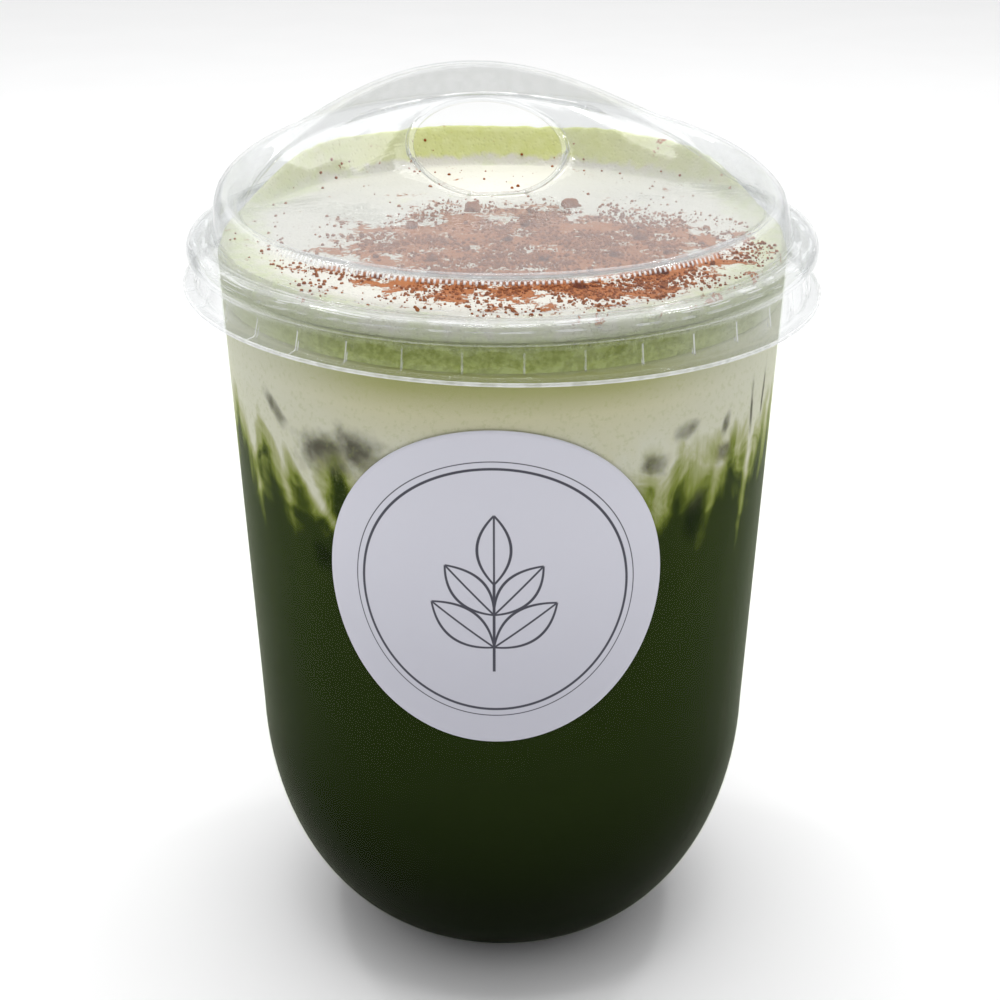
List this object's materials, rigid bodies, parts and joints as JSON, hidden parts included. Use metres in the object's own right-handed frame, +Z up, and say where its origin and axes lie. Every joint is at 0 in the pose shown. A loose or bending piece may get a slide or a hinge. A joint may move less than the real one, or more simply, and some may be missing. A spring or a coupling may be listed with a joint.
{
  "type": "matcha latte",
  "caption": "Iced matcha latte with cream foam and cocoa dusting in a clear round-bottomed takeaway cup with a clear sip-through lid and a round sticker.",
  "frame": {"origin": "on the table plane, in the middle under the cup, on the cup's axis", "axes": "+Z up along the cup's axis, the round sticker faces -Y, the drinking crest of the lid is at the back towards +Y"},
  "size_m": [0.0986, 0.0986, 0.1387],
  "materials": {
    "clear_cup": "clear, colourless, glossy thin-walled plastic",
    "clear_lid": "clear, colourless, glossy pressed sheet plastic",
    "matcha_tea": "dark green tea seen through the wall",
    "milk": "pale greenish cream milk layer with drips into the tea",
    "cream_foam": "soft cream foam with a pea-green edge, dusted with red-brown cocoa",
    "label_paper": null
  },
  "bodies": {
    "root": {"cup": "clear_cup", "lid": "clear_lid", "matcha": "matcha_tea", "milk": "milk", "foam": "cream_foam", "label": "label_paper"}
  },
  "joints": []
}
